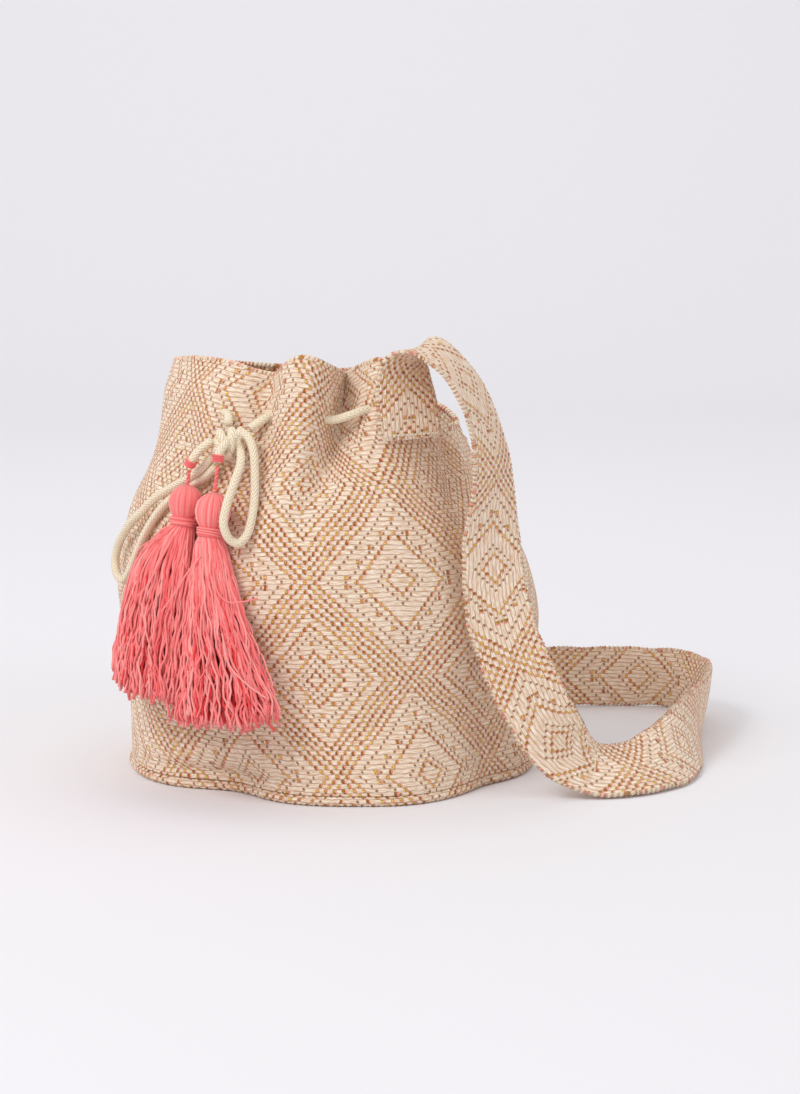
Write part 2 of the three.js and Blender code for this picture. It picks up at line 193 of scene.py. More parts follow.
def smooth_through(pairs, x, period=0):
    """A cubic through the pairs, with each point's slope taken from its two neighbours."""
    px = np.array([p[0] for p in pairs], dtype=float)
    py = np.array([p[1] for p in pairs], dtype=float)
    if period:
        px = np.concatenate([px[-2:] - period, px, px[:2] + period])
        py = np.concatenate([py[-2:], py, py[:2]])
    slope = np.zeros_like(py)
    slope[1:-1] = (py[2:] - py[:-2]) / (px[2:] - px[:-2])
    slope[0] = (py[1] - py[0]) / (px[1] - px[0])
    slope[-1] = (py[-1] - py[-2]) / (px[-1] - px[-2])
    i = np.clip(np.searchsorted(px, x, side="right") - 1, 0, len(px) - 2)
    span = px[i + 1] - px[i]
    t = np.clip((x - px[i]) / span, 0, 1)
    a = (2 * t**3 - 3 * t**2 + 1) * py[i] + (t**3 - 2 * t**2 + t) * slope[i] * span
    return a + (3 * t**2 - 2 * t**3) * py[i + 1] + (t**3 - t**2) * slope[i + 1] * span


def base_radius(angle):
    """The base's outline: a circle with a smooth dent or swell at each place of the list."""
    radius = np.full(np.shape(angle), BASE_RADIUS)
    for place, width, depth in BASE_DENTS:
        radius = radius - depth * np.exp(-((turned(place, angle) / width) ** 2))
    return radius


def wall_radius(angle, share):
    """The wall's middle radius: profile times flatness, blended to the base's outline, less the folds."""
    radius = smooth_through(WALL_PROFILE, share) * smooth_through(SIDE_SCALE, turned(0, angle), 360)
    blend = smoothstep(share, 0, 0.24)
    radius = base_radius(angle) * (1 - blend) + radius * blend
    radius = radius - 9 * np.exp(-((turned(84, angle) / 45) ** 2)) * smoothstep(share, 0.7, 0.95)
    for place, lean, width, depth, low in FOLDS:
        centre = place + lean * (1 - share) / (1 - low)
        swell = np.exp(-((turned(centre, angle) / width) ** 2))
        radius = radius - depth * smoothstep(share, low, 1) * swell
    return radius


def wall_point(angle, share):
    """The wall's middle surface in millimetres."""
    radius = wall_radius(angle, share)
    rim = smooth_through(RIM_HEIGHT, turned(0, angle), 360)
    a = np.radians(angle)
    height = WALL_FOOT + share * (rim - WALL_FOOT)
    return np.stack([radius * np.sin(a), -radius * np.cos(a), height], axis=-1)


def unit(vectors):
    """Vectors scaled to length one."""
    return vectors / np.maximum(np.linalg.norm(vectors, axis=-1, keepdims=True), 1e-12)


def grid_normals(points):
    """Normals of a grid that closes along its second axis."""
    along = np.roll(points, -1, axis=1) - np.roll(points, 1, axis=1)
    up = np.gradient(points, axis=0)
    return unit(np.cross(along, up))


def grid_faces(rows, columns, wrap_rows=False, wrap_columns=True):
    """Quads over a grid of points, closed along either axis as asked."""
    r = np.arange(rows if wrap_rows else rows - 1)
    c = np.arange(columns if wrap_columns else columns - 1)
    r, c = [x.ravel() for x in np.meshgrid(r, c, indexing="ij")]
    r1, c1 = (r + 1) % rows, (c + 1) % columns
    return np.stack([r * columns + c, r * columns + c1, r1 * columns + c1, r1 * columns + c], axis=1)


def grid_uvs(rows, columns, u, v):
    """Corner coordinates of an open grid's faces; u and v have one column more than the closed grid."""
    r, c = [x.ravel() for x in np.meshgrid(np.arange(rows), np.arange(columns), indexing="ij")]
    corners = [(r, c), (r, c + 1), (r + 1, c + 1), (r + 1, c)]
    return np.stack([np.stack([u[i], v[i]], axis=1) for i in corners], axis=1)


# ---------------------------------------------------------------- routes, in millimetres

# The strap's stations: its middle, then the way to its second edge.
STRAP_ROUTE = [
    (50, -99.5, 222, 0.87, 0.49, 0), (48.5, -97, 240, 0.87, 0.49, 0), (46.5, -94, 258, 0.86, 0.5, 0),
    (48, -94, 271, 0.75, 0.64, 0.1), (58, -97, 279, 0.35, 0.9, 0.25), (73, -99, 270, 0.25, 0.94, 0.22),
    (88, -100, 250, 0.33, 0.92, 0.2), (97, -101, 226, 0.42, 0.9, 0.1), (101, -102, 200, 0.55, 0.83, 0.05),
    (100.5, -104, 176, 0.7, 0.71, 0.03), (100, -107, 152, 0.86, 0.5, 0.05), (104, -110, 118, 0.92, 0.37, 0.1),
    (112, -112, 92, 0.95, 0.2, 0.22), (124, -112, 66, 0.92, 0.14, 0.36), (137, -110, 42, 0.82, 0.3, 0.48),
    (150, -103, 26, 0.6, 0.6, 0.52), (165, -98, 16, 0.25, 0.83, 0.5), (183, -92, 14.2, 0, 0.87, 0.49),
    (200, -81, 14.9, -0.25, 0.79, 0.56), (215, -63, 17.1, -0.42, 0.6, 0.68), (226, -38, 20, -0.42, 0.32, 0.84),
    (237, 3, 21.7, -0.22, 0.1, 0.97), (247, 50, 22, 0.1, 0, 0.99), (254, 92, 22, 0.2, 0, 0.98),
    (254, 130, 22, 0.1, -0.1, 0.99), (240, 157, 22, 0, -0.08, 1), (210, 165, 22, 0, -0.05, 1),
    (170, 165, 22, 0, 0, 1), (120, 164, 22, 0, 0, 1), (75, 160, 28.4, 0.12, 0, 0.99),
    (40, 156, 46, 0.5, 0.05, 0.86), (10, 151, 74, 0.75, 0.15, 0.62), (-14, 145, 108, 0.86, 0.3, 0.35),
    (-32, 138, 148, 0.88, 0.4, 0.15), (-43, 130, 188, 0.89, 0.45, 0.05), (-50, 123, 218, 0.89, 0.45, 0),
    (-52, 115, 237, 0.89, 0.45, 0), (-51.5, 105, 244, 0.89, 0.45, 0), (-50, 98.5, 237, 0.89, 0.45, 0),
    (-50.5, 99.5, 220, 0.89, 0.45, 0), (-53, 103.5, 200, 0.89, 0.45, 0),
]
MOUTH_ROUTE = [
    (-61, -92, 231), (-61.5, -86, 235), (-64, -78, 236.5), (-69, -69, 236.5), (-80, -55, 236), (-94, -34, 235),
    (-101, -12, 233), (-101, 10, 231), (-95, 31, 229), (-88, 48, 227.5), (-76, 59, 225.5), (-57, 81, 222.5),
    (-26, 93, 219.5), (3, 80, 218.5), (25, 92, 217), (46, 83, 212.5), (53, 74, 210), (60, 67, 206.5),
    (66, 60, 204), (73, 52, 201), (86, 31, 195), (85, 10, 191), (90, -16, 196), (80, -46, 207.5),
    (65, -65, 221), (48, -82, 236), (34, -89, 239.5), (23, -92, 239.5), (14, -93, 236.5), (4, -91.5, 233.5),
    (-4, -92.5, 234), (-12, -97, 237.5), (-19, -96, 238.5), (-27, -88.5, 237.5), (-34, -86, 236),
    (-41, -90, 232.5), (-48, -92.5, 228),
]
LEFT_LOOP_ROUTE = [
    (-71, -93, 211), (-79, -88, 201.5), (-89, -81.5, 194.5), (-99, -73.5, 188.5), (-109, -66, 181.5),
    (-118, -59, 172), (-125, -52, 165), (-131, -42, 156), (-136, -33, 146), (-138, -32, 136), (-136, -38, 128),
    (-131, -47, 127), (-126, -54, 135), (-121, -59, 147), (-115, -64, 160), (-106, -69.5, 174),
    (-96, -75.5, 184), (-86, -82, 191), (-77, -88.5, 196.5), (-69, -94, 204.5),
]
RIGHT_LOOP_ROUTE = [
    (-53, -96, 226.5), (-48.5, -99, 223), (-45.5, -103, 216), (-44.5, -107, 203), (-44.5, -112, 188),
    (-46, -116.5, 176), (-49, -119.5, 166), (-54, -122, 161.5), (-59, -123.5, 164), (-62.5, -125, 173),
    (-61, -123, 184), (-57, -118, 196), (-53, -109, 208), (-53, -102, 215),
]
LEFT_END_ROUTE = [(-71, -95, 221), (-77, -96, 216.5), (-82, -96, 211), (-85.3, -94.1, 205.2)]
RIGHT_END_ROUTE = [(-61.5, -102, 220.5), (-63.5, -105.5, 218.5), (-66, -108, 214.5), (-66.9, -107.9, 209.2)]


def curve_through(points, per_span):
    """A centripetal Catmull-Rom curve: between neighbours p1 and p2 a Hermite cubic whose slopes come from
    the chords around it, each chord timed by the square root of its length."""
    p = np.asarray(points, dtype=float)
    p = np.concatenate([[2 * p[0] - p[1]], p, [2 * p[-1] - p[-2]]])
    d = np.maximum(np.linalg.norm(np.diff(p, axis=0), axis=1) ** 0.5, 1e-4)[:, None]
    t = np.linspace(0, 1, per_span, endpoint=False)[:, None]
    spans = []
    for i in range(1, len(p) - 2):
        p0, p1, p2, p3 = p[i - 1 : i + 3]
        d0, d1, d2 = d[i - 1 : i + 2]
        m1 = ((p1 - p0) / d0 - (p2 - p0) / (d0 + d1) + (p2 - p1) / d1) * d1
        m2 = ((p2 - p1) / d1 - (p3 - p1) / (d1 + d2) + (p3 - p2) / d2) * d1
        spans.append(
            (2 * t**3 - 3 * t**2 + 1) * p1 + (t**3 - 2 * t**2 + t) * m1
            + (3 * t**2 - 2 * t**3) * p2 + (t**3 - t**2) * m2
        )
    return np.concatenate(spans + [p[-2:-1]])


def evenly(path, step, *others):
    """The path again with points a step apart along it, and anything else given at its points."""
    length = np.concatenate([[0], np.cumsum(np.linalg.norm(np.diff(path, axis=0), axis=1))])
    marks = np.linspace(0, length[-1], max(int(length[-1] / step), 2) + 1)
    spread = []
    for values in (path, *others):
        columns = [np.interp(marks, length, values[:, k]) for k in range(values.shape[1])]
        spread.append(np.stack(columns, axis=1))
    return (*spread, marks)


def carried_frames(path, closed=False):
    """Two directions across a path at each point, carried along it without twist."""
    along = unit(np.gradient(path, axis=0))
    if closed:
        along = unit(np.roll(path, -1, axis=0) - np.roll(path, 1, axis=0))
    current = np.array([0.0, 0.0, 1.0]) if abs(along[0][2]) < 0.9 else np.array([1.0, 0.0, 0.0])
    first = np.empty_like(path)
    for i, direction in enumerate(along):
        current = unit(current - np.dot(current, direction) * direction)
        first[i] = current
    return first, np.cross(along, first)


def tube_parts(path, radius, sides, closed=False, scale=(1.0, 1.0)):
    """Points, faces and corner coordinates of a tube: path plus radius times its two cross directions.
    Radius is a number or a grid of path points by sides. Open ends are drawn in to a point."""
    path = np.asarray(path, dtype=float)
    first, second = carried_frames(path, closed)
    angle = np.linspace(0, TAU, sides, endpoint=False)[None, :]
    reach = np.broadcast_to(np.asarray(radius, dtype=float), (len(path), sides)).copy()
    length = np.concatenate([[0], np.cumsum(np.linalg.norm(np.diff(path, axis=0), axis=1))])
    if not closed:
        path = np.concatenate([path[:1], path, path[-1:]])
        first, second = [np.concatenate([f[:1], f, f[-1:]]) for f in (first, second)]
        reach = np.concatenate([reach[:1] * 0.02, reach, reach[-1:] * 0.02])
        length = np.concatenate([length[:1], length, length[-1:]])
    circle = np.cos(angle)[..., None] * first[:, None] + np.sin(angle)[..., None] * second[:, None]
    ring = reach[..., None] * circle
    points = (path[:, None] + ring).reshape(-1, 3)
    rows = len(path)
    faces = grid_faces(rows, sides, wrap_rows=closed)
    if closed:
        length = np.append(length, length[-1] + np.linalg.norm(path[0] - path[-1]))
    u = np.linspace(0, scale[0], sides + 1)[None, :] * np.ones((len(length), 1))
    v = length[:, None] * scale[1] * np.ones((1, sides + 1))
    return points, faces, grid_uvs(len(length) - 1, sides, u, v)


def joined(parts):
    """Several points, faces and corner coordinates as one set."""
    start, points, faces, uvs = 0, [], [], []
    for p, f, c in parts:
        points.append(p)
        faces.append(f + start)
        uvs.append(c.reshape(-1, 4, 2))
        start += len(p)
    return np.concatenate(points), np.concatenate(faces), np.concatenate(uvs)


def add_piece(name, parts, material, body_name, replaces=()):
    """One mesh from tube parts in millimetres, with its material, its body and what it replaces."""
    points, faces, uvs = joined(parts)
    piece = add_mesh(name, points * MM, faces, uvs)
    piece.data.materials.append(material)
    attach(piece, body_name)
    if replaces:
        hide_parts(*replaces)
    return piece


# ---------------------------------------------------------------- materials

REPEAT = 42  # threads in one diamond, both ways
WARP_PITCH = 2.8
WEFT_PITCH = 2.87
# Steps out from a diamond's centre where the coloured warp comes up in lines, in single gaps and in every
# third thread.
LINE_STEPS = (3, 10, 19, 21, 23, 25, 27, 30, 36, 40)
GAP_STEPS = (5, 12, 16, 32, 38)
SPARSE_STEPS = (13, 34)
INNER_NUMBER = 1000
PLAIT_SLOPE = 1.5  # strands that a plait leans across one column


def add(tree, kind, *inputs, **settings):
    """Adds a node, sets its properties, sets or links its inputs in order, and gives its first output."""
    node = tree.nodes.new("ShaderNode" + kind)
    for name, value in settings.items():
        setattr(node, name, value)
    for socket, value in zip(node.inputs, inputs):
        if isinstance(value, bpy.types.NodeSocket):
            tree.links.new(value, socket)
        elif value is not None:
            socket.default_value = value
    return node.outputs[0]


def new_material(name, roughness, sheen=0.0):
    """A material with its tree and shader; the constants sit on the shader itself."""
    material = bpy.data.materials.new(name)
    material.use_nodes = True
    shader = material.node_tree.nodes["Principled BSDF"]
    shader.inputs["Roughness"].default_value = roughness
    shader.inputs["Sheen Weight"].default_value = sheen
    shader.inputs["Sheen Roughness"].default_value = 0.5
    shader.inputs["Specular IOR Level"].default_value = 0.3
    return material, material.node_tree, shader


def stepped(tree, value, steps, count):
    """A ramp that is white in each of the whole-number steps of a value that runs from 0 to count."""
    ramp = add(tree, "ValToRGB", value).node
    ramp.color_ramp.interpolation = "CONSTANT"
    stops = ramp.color_ramp.elements
    stops[0].position = 0
    stops[0].color = (0, 0, 0, 1)
    stops[1].position = (steps[0] - 0.5) / count
    stops[1].color = (1, 1, 1, 1)
    edges = [((steps[0] + 0.5) / count, 0)]
    for step in steps[1:]:
        edges += [((step - 0.5) / count, 1), ((step + 0.5) / count, 0)]
    for position, level in edges:
        stops.new(position).color = (level, level, level, 1)
    return ramp.outputs[0]


def ramp_of(tree, value, *stops):
    """A colour ramp through (place, hex colour) pairs."""
    colour = add(tree, "ValToRGB", value)
    elements = colour.node.color_ramp.elements
    for element, (place, shade) in zip((elements[0], elements[1]), (stops[0], stops[-1])):
        element.position, element.color = place, linear(shade)
    for place, shade in stops[1:-1]:
        elements.new(place).color = linear(shade)
    return colour


def bumped(tree, shader, height, strength, distance):
    """Links a height to the shader's normal through a bump of the given depth."""
    bump = add(tree, "Bump", strength, distance).node
    tree.links.new(height, bump.inputs["Height"])
    tree.links.new(bump.outputs[0], shader.inputs["Normal"])


def cloth_material(name, reverse=False):
    """Hand-loomed twill: thick slack cream weft over pairs of salmon cotton and gold lurex warp.
    Steps from the nearest diamond centre, counted in threads both ways and added, say which threads come up."""
    material, tree, shader = new_material(name, 0.85, sheen=0.15)
    places = add(tree, "UVMap", uv_map="cloth")
    drift = add(tree, "TexNoise", places, None, 0.11, 2.0, noise_dimensions="2D").node.outputs["Color"]
    shift = add(tree, "VectorMath", drift, (0.5, 0.5, 0.5), operation="SUBTRACT")
    shift = add(tree, "VectorMath", shift, (1.5, 1.1, 0), operation="MULTIPLY")
    places = add(tree, "VectorMath", places, shift, operation="ADD")
    jitter = add(tree, "TexNoise", places, None, 0.9, 1.0, noise_dimensions="2D").node.outputs["Color"]
    jitter = add(tree, "VectorMath", jitter, (0.5, 0.5, 0.5), operation="SUBTRACT")
    jitter = add(tree, "VectorMath", jitter, (0.3, 0.34, 0), operation="MULTIPLY")
    places = add(tree, "VectorMath", places, jitter, operation="ADD")
    split = add(tree, "SeparateXYZ", places).node
    cells = []
    for axis in (0, 1):
        whole = add(tree, "Math", split.outputs[axis], operation="FLOOR")
        part = add(tree, "Math", split.outputs[axis], operation="FRACT")
        place = add(tree, "Math", split.outputs[axis], 0.5, operation="SUBTRACT")
        counted = [add(tree, "Math", value, REPEAT / 2, operation="PINGPONG") for value in (whole, place)]
        cells.append((whole, part, *counted))
    (warp, across, a, a_place), (weft, up, b, b_place) = cells
    counted = add(tree, "Math", a, b, operation="ADD")
    steps = add(tree, "Math", counted, REPEAT, operation="DIVIDE")
    # Distance across the diagonal line of a thread: 0 on the line through the cell's middle.
    slant = add(tree, "Math", a_place, b_place, operation="ADD")
    slant = add(tree, "Math", slant, counted, operation="SUBTRACT")
    slant = add(tree, "Math", slant, operation="ABSOLUTE")
    line_band = add(tree, "MapRange", slant, 0.4, 0.7, 1.0, 0.0, interpolation_type="SMOOTHSTEP")
    lines = stepped(tree, steps, LINE_STEPS, REPEAT)
    gaps = stepped(tree, steps, GAP_STEPS, REPEAT)
    third = add(tree, "Math", warp, 3, operation="FLOORED_MODULO")
    third = add(tree, "Math", third, 0.5, operation="LESS_THAN")
    sparse = add(tree, "Math", stepped(tree, steps, SPARSE_STEPS, REPEAT), third, operation="MULTIPLY")
    lines = add(tree, "Math", lines, line_band, operation="MULTIPLY")
    raised = add(tree, "Math", lines, sparse, operation="MAXIMUM")
    if reverse:
        raised = add(tree, "Math", 1.0, raised, operation="SUBTRACT")
    chance = add(tree, "TexWhiteNoise", add(tree, "CombineXYZ", warp, weft, 0.0), noise_dimensions="2D")
    # How far a point is from the middle of its gold thread, its pink thread and its gap.
    gold_edge = add(tree, "Math", add(tree, "Math", across, 0.32, operation="SUBTRACT"), operation="ABSOLUTE")
    pink_edge = add(tree, "Math", add(tree, "Math", across, 0.82, operation="SUBTRACT"), operation="ABSOLUTE")
    row_edge = add(tree, "Math", add(tree, "Math", up, 0.5, operation="SUBTRACT"), operation="ABSOLUTE")
    gold = add(tree, "MapRange", gold_edge, 0.24, 0.36, 1.0, 0.0)
    pink = add(tree, "MapRange", pink_edge, 0.18, 0.3, 1.0, 0.0)
    ends = add(tree, "MapRange", row_edge, 0.4, 0.5, 1.0, 0.25)
    gold = add(tree, "Math", gold, ends, operation="MULTIPLY")
    gold = add(tree, "Math", gold, raised, operation="MULTIPLY")
    pink = add(tree, "Math", pink, raised, operation="MULTIPLY")
    # A brown spot in each sunk gap: the gold warp under the weft, painted darker as shade in the hole.
    hollow = add(tree, "Math", gold_edge, 0.34, operation="DIVIDE")
    hollow = add(tree, "Math", hollow, hollow, operation="MULTIPLY")
    deep = add(tree, "Math", row_edge, 0.4, operation="DIVIDE")
    hollow = add(tree, "Math", deep, deep, hollow, operation="MULTIPLY_ADD")
    hollow = add(tree, "MapRange", hollow, 0.4, 1.3, 0.9, 0.0)
    gaps = add(tree, "Math", gaps, line_band, operation="MULTIPLY")
    hollow = add(tree, "Math", hollow, gaps, operation="MULTIPLY")
    # The weft's own strands: long streaks, about four to a thread.
    strand_places = add(tree, "VectorMath", places, (0.28, 3.1, 0), operation="MULTIPLY")
    strands = add(tree, "TexNoise", strand_places, None, 1.6, 3.0, 0.6, noise_dimensions="2D")
    row = add(tree, "MapRange", row_edge, 0.3, 0.5, 1.0, 0.0, interpolation_type="SMOOTHSTEP")
    cream = ramp_of(tree, strands, (0.28, "#D9AC7E"), (0.62, "#FFF1DD"))
    # Painted shade: each weft row darkens towards its edges, where it meets the next row, with the shade tinted warm.
    shade = add(tree, "Math", row, 0.26, 0.74, operation="MULTIPLY_ADD")
    row_shade_red = add(tree, "Math", shade, 0.35, 0.65, operation="MULTIPLY_ADD")
    shade = add(tree, "CombineXYZ", row_shade_red, shade, shade)
    shaded_weft_colour = add(tree, "VectorMath", cream, shade, operation="MULTIPLY")
    # The gold lurex's own brown-gold, with painted glints: noise lifts scattered spots to bright yellow.
    glitter = add(tree, "TexNoise", places, None, 5.5, 2.0, noise_dimensions="2D")
    shine = add(tree, "Math", chance, 0.3, glitter, operation="MULTIPLY_ADD")
    metal = ramp_of(tree, shine, (0.42, "#94561C"), (0.68, "#C98328"), (0.82, "#FFE27A"))
    salmon = ramp_of(tree, strands, (0.0, "#E08A74"), (1.0, "#FDB3A2"))
    colour = shaded_weft_colour
    # The brown in the gaps is painted shade over the warp's gold; the salmon and gold threads are their own colours.
    for mask, over in ((hollow, linear("#9C6430")), (pink, salmon), (gold, metal)):
        mix = add(tree, "Mix", mask, data_type="RGBA").node
        below, above = [s for s in mix.inputs if s.type == "RGBA"]
        tree.links.new(colour, below)
        if isinstance(over, tuple):
            above.default_value = over
        else:
            tree.links.new(over, above)
        colour = next(s for s in mix.outputs if s.type == "RGBA")
    tree.links.new(colour, shader.inputs["Base Color"])
    metallic = add(tree, "Math", gold, 0.6, operation="MULTIPLY")
    tree.links.new(metallic, shader.inputs["Metallic"])
    tree.links.new(add(tree, "MapRange", gold, 0.0, 1.0, 0.85, 0.3), shader.inputs["Roughness"])
    # Relief: rounded weft rows with their strands, coloured threads standing on them, gaps sunk in.
    height = add(tree, "Math", strands, 0.4, operation="MULTIPLY")
    height = add(tree, "Math", row, 0.55, height, operation="MULTIPLY_ADD")
    height = add(tree, "Math", gold, 0.35, height, operation="MULTIPLY_ADD")
    height = add(tree, "Math", pink, 0.2, height, operation="MULTIPLY_ADD")
    height = add(tree, "Math", hollow, -0.35, height, operation="MULTIPLY_ADD")
    grain = add(tree, "Math", glitter, gold, operation="MULTIPLY")
    height = add(tree, "Math", grain, 0.5, height, operation="MULTIPLY_ADD")
    bumped(tree, shader, height, 0.85, 0.0011)
    return material


cloth = cloth_material("hand-loomed diamond twill, face")
cloth_back = cloth_material("hand-loomed diamond twill, reverse", reverse=True)

# ---------------------------------------------------------------- body


def wander(angle, height, size):
    """Slow unevenness of soft cloth: a sum of slanted sine waves round the bag and up it, in millimetres."""
    a = np.radians(angle)
    waves = [
        (3, 0.021, 0.4, 1.0), (5, -0.034, 1.9, 0.8), (8, 0.047, 3.1, 0.55), (13, -0.07, 5.2, 0.35),
        (21, 0.11, 0.9, 0.2),
    ]
    return size * sum(s * np.sin(k * a + h * height + p) for k, h, p, s in waves)


# Gathers: place and lean against height, height and its reach, width in degrees, depth.
GATHERS = [
    (0.5, 0.2, 216, 26, 4.5, -4.5), (-8, 0.15, 214, 30, 6, 2.5), (8, 0.22, 200, 20, 5, 2.0), (-5, 0.3, 180, 22, 5, -2.2),
    (12, 0.12, 208, 18, 4, -2.0), (45, 0.06, 196, 32, 5, -3.0), (53, 0.05, 200, 34, 5, 1.6), (-30, -0.05, 226, 24, 5, -2.5),
    (-44, 0.1, 232, 26, 6, 2.0), (-57, 0.1, 205, 30, 5, -2.0), (70, 0.1, 190, 30, 7, -2.5), (120, 0.1, 200, 30, 7, -3),
    (-90, 0.1, 205, 32, 8, -2.5), (-150, -0.1, 205, 30, 8, -3), (160, 0.1, 190, 34, 6, 2.5), (-12, 0.1, 120, 40, 9, -1.2),
    (33, -0.1, 60, 34, 9, -1.6), (-62, 0.1, 90, 40, 9, 1.3),
]


def body_surface(angle, share):
    """The wall's middle with its unevenness, and the sag over the seam at the front left."""
    points = wall_point(angle, share)
    height = points[..., 2]
    free = smoothstep(height, 8, 40)
    grow = wander(angle, height, 0.75) * free
    sag = np.exp(-((turned(-34, angle) / 24) ** 2))
    bulge = 6.5 * np.exp(-(((height - 27) / 11) ** 2)) - 3.2 * np.exp(-(((height - 13) / 4) ** 2))
    grow = grow + sag * bulge
    ripple = np.sin(np.radians(angle) * 46 + np.sin(np.radians(angle) * 5) * 3)
    grow = grow + 0.7 * ripple * np.exp(-(((height - 12) / 11) ** 2)) * free
    for place, lean, middle, reach, width, depth in GATHERS:
        centre = place + lean * (height - middle)
        away = (turned(centre, angle) / width) ** 2
        grow = grow + depth * np.exp(-away - ((height - middle) / reach) ** 2)
    a = np.radians(angle)
    points[..., 0] += grow * np.sin(a)
    points[..., 1] -= grow * np.cos(a)
    return points


BODY_COLUMNS = 360
BODY_ROWS = 200
INNER_ROWS = 56
RIM_ROWS = 5
# A diamond's centre stands here on the front, and the columns of diamonds lean a little to the left.
DIAMONDS_ROUND = 7
DIAMOND_ANGLE = 20
DIAMOND_SHARE = 0.505
DIAMOND_LEAN = 0.136


def make_body():
    """The wall's middle surface pushed out and in by half the cloth's thickness, with a rounded rim between.
    Cloth coordinates count warps by the share of each level's own length, and wefts by the way up the wall."""
    angle = np.linspace(-180, 180, BODY_COLUMNS, endpoint=False)[None, :]
    outer = np.linspace(0, 1, BODY_ROWS)
    inner = np.linspace(1, 0, INNER_ROWS)
    share = np.concatenate([outer, np.ones(RIM_ROWS), inner])
    turn = np.linspace(0, math.pi, RIM_ROWS + 2)[1:-1]
    side = np.concatenate([np.ones(BODY_ROWS), np.cos(turn), -np.ones(INNER_ROWS)])
    over = np.concatenate([np.zeros(BODY_ROWS), np.sin(turn), np.zeros(INNER_ROWS)])
    fine = np.linspace(0, 1, BODY_ROWS)[:, None] * np.ones_like(angle)
    middle = body_surface(angle * np.ones_like(fine), fine)
    normal = grid_normals(middle)
    pick = np.clip(share * (BODY_ROWS - 1), 0, BODY_ROWS - 1)
    low = np.floor(pick).astype(int)
    high = np.minimum(low + 1, BODY_ROWS - 1)
    t = (pick - low)[:, None, None]
    points = middle[low] * (1 - t) + middle[high] * t
    normals = unit(normal[low] * (1 - t) + normal[high] * t)
    points = points + normals * (side * WALL_HALF)[:, None, None]
    points[..., 2] += (over * WALL_HALF * 1.3)[:, None]
    # Cloth coordinates on the fine middle, one column more than the closed grid.
    wrapped = np.concatenate([middle, middle[:, :1]], axis=1)
    lengths = np.linalg.norm(np.diff(wrapped, axis=1), axis=2)
    round_it = np.concatenate([np.zeros((BODY_ROWS, 1)), np.cumsum(lengths, axis=1)], axis=1)
    u = round_it / round_it[:, -1:] * DIAMONDS_ROUND * REPEAT
    climb = np.linalg.norm(np.diff(wrapped, axis=0), axis=2)
    v = np.concatenate([np.zeros((1, BODY_COLUMNS + 1)), np.cumsum(climb, axis=0)], axis=0) / WEFT_PITCH
    row = int(round(DIAMOND_SHARE * (BODY_ROWS - 1)))
    column = int(round((DIAMOND_ANGLE + 180) / 360 * BODY_COLUMNS))
    v = v - v[row, column] + 0.5
    u = u - u[row, column] + 0.5 + DIAMOND_LEAN * v
    u = u[low] * (1 - t[..., 0]) + u[high] * t[..., 0]
    v = v[low] * (1 - t[..., 0]) + v[high] * t[..., 0]
    rows = len(share)
    faces = grid_faces(rows, BODY_COLUMNS, wrap_rows=True)
    u = np.concatenate([u, u[:1]])
    v = np.concatenate([v, v[:1]])
    uvs = grid_uvs(rows, BODY_COLUMNS, u, v)
    body = add_mesh("body_cloth", points.reshape(-1, 3) * MM, faces, uvs)
    body.data.materials.append(cloth)
    body.data.materials.append(cloth_back)
    inside = np.repeat(np.arange(rows) >= BODY_ROWS + RIM_ROWS // 2, BODY_COLUMNS).astype(np.int32)
    body.data.polygons.foreach_set("material_index", inside)
    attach(body, "bag")
    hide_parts("bag_body")


make_body()


def plait_height(tree, columns_socket, rows_socket, slope):
    """Relief of plaited strands in columns: |sin(pi (v +- slope (u' - 1/2)))| times (1 + sin(pi u')) / 2, where
    u' is the place across a column and the slant turns over from one column to the next."""
    whole = add(tree, "Math", columns_socket, operation="FLOOR")
    part = add(tree, "Math", columns_socket, operation="FRACT")
    side = add(tree, "Math", whole, 2.0, operation="FLOORED_MODULO")
    side = add(tree, "Math", side, 2.0, -1.0, operation="MULTIPLY_ADD")
    lean = add(tree, "Math", add(tree, "Math", part, 0.5, operation="SUBTRACT"), side, operation="MULTIPLY")
    place = add(tree, "Math", lean, slope, rows_socket, operation="MULTIPLY_ADD")
    wave = add(tree, "Math", add(tree, "Math", place, math.pi, operation="MULTIPLY"), operation="SINE")
    ridge = add(tree, "Math", wave, operation="ABSOLUTE")
    ends = add(tree, "Math", add(tree, "Math", part, math.pi, operation="MULTIPLY"), operation="SINE")
    ends = add(tree, "Math", ends, 0.5, 0.5, operation="MULTIPLY_ADD")
    return add(tree, "Math", ridge, ends, operation="MULTIPLY")


def plaited_material(name, slope, *colours):
    """Soft cotton plaited in columns; u counts columns round the piece and v counts strands along it."""
    material, tree, shader = new_material(name, 0.88, sheen=0.2)
    places = add(tree, "UVMap", uv_map="cloth")
    split = add(tree, "SeparateXYZ", places).node
    height = plait_height(tree, split.outputs[0], split.outputs[1], slope)
    fibre = add(tree, "TexNoise", add(tree, "TexCoord").node.outputs["Object"], None, 2600.0, 2.0)
    # Painted shade: the cream darkens in the grooves between plaits, where the plait's height is low, with fibre noise
    # on top.
    shade = add(tree, "Math", height, 0.6, operation="MULTIPLY")
    shade = add(tree, "Math", fibre, 0.5, shade, operation="MULTIPLY_ADD")
    tree.links.new(ramp_of(tree, shade, *colours), shader.inputs["Base Color"])
    bumped(tree, shader, add(tree, "Math", fibre, 0.25, height, operation="MULTIPLY_ADD"), 0.7, 0.0006)
    return material


